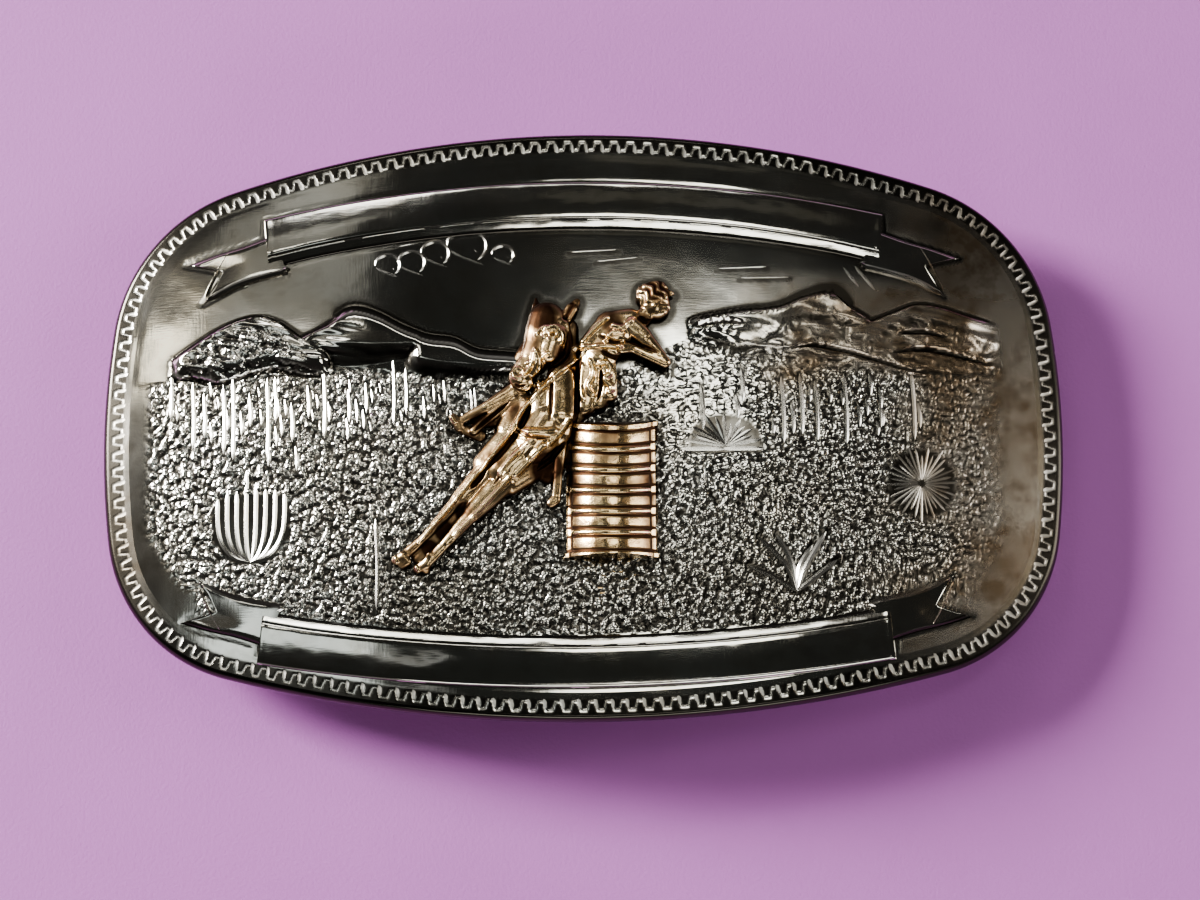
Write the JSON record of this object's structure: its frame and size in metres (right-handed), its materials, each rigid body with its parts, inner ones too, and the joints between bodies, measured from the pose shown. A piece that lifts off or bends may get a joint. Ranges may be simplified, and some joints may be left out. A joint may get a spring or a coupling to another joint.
{
  "type": "western trophy buckle",
  "caption": "Curved nickel-silver belt buckle with raised ribbons and desert scene, gilt barrel-racing horse and rider, and a strap loop and prong behind.",
  "frame": {"origin": "centre of the underside of the bounding box, on the surface that the buckle lies on", "axes": "+X along the plate, to the right of the scene; +Y up the scene; +Z out of the face"},
  "size_m": [0.0954, 0.059, 0.0157],
  "materials": {
    "nickel_silver": "polished nickel silver with a tarnished, stippled ground",
    "gilt_bronze": "polished gilt bronze, brown in its recesses",
    "plain_wire": "drawn nickel-silver wire, satin"
  },
  "bodies": {
    "root": {"buckle_plate": "nickel_silver", "horse_and_rider": "gilt_bronze", "barrel": "gilt_bronze", "belt_loop": "plain_wire", "belt_hook": "plain_wire"}
  },
  "joints": []
}
